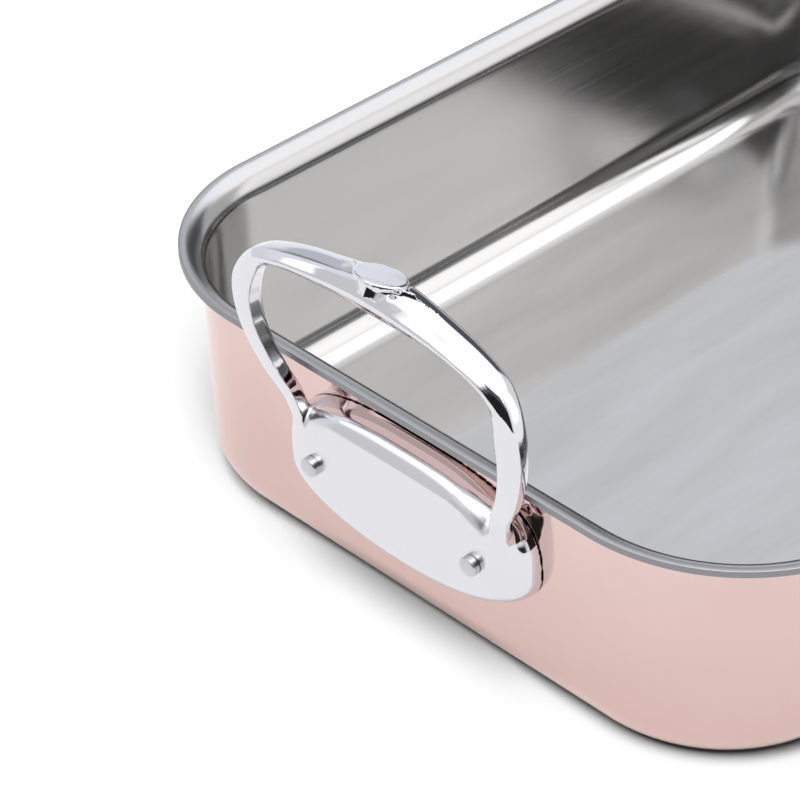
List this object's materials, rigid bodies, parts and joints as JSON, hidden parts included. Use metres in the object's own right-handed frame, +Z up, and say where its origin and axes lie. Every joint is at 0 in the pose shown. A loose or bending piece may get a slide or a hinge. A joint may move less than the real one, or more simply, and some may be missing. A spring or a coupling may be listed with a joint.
{
  "type": "roasting pan",
  "caption": "Deep rectangular roasting pan of copper sheet with a stainless lining, a flared pouring lip and cast stainless loop handles riveted to its end walls.",
  "frame": {"origin": "middle of the pan's flat underside", "axes": "+Z up, +X along the pan's length from the left handle to the right handle, +Y across the pan towards its back"},
  "size_m": [0.3802, 0.25, 0.1295],
  "materials": {
    "copper": "mirror polished copper",
    "lining_steel": "satin polished stainless steel",
    "handle_steel": "polished cast stainless steel",
    "rivet_steel": "closed stainless steel rivets"
  },
  "bodies": {
    "root": {"copper_body": "copper", "steel_lining": "lining_steel", "left_handle": "handle_steel", "right_handle": "handle_steel", "left_front_rivet": "rivet_steel", "left_back_rivet": "rivet_steel", "right_front_rivet": "rivet_steel", "right_back_rivet": "rivet_steel"}
  },
  "joints": []
}
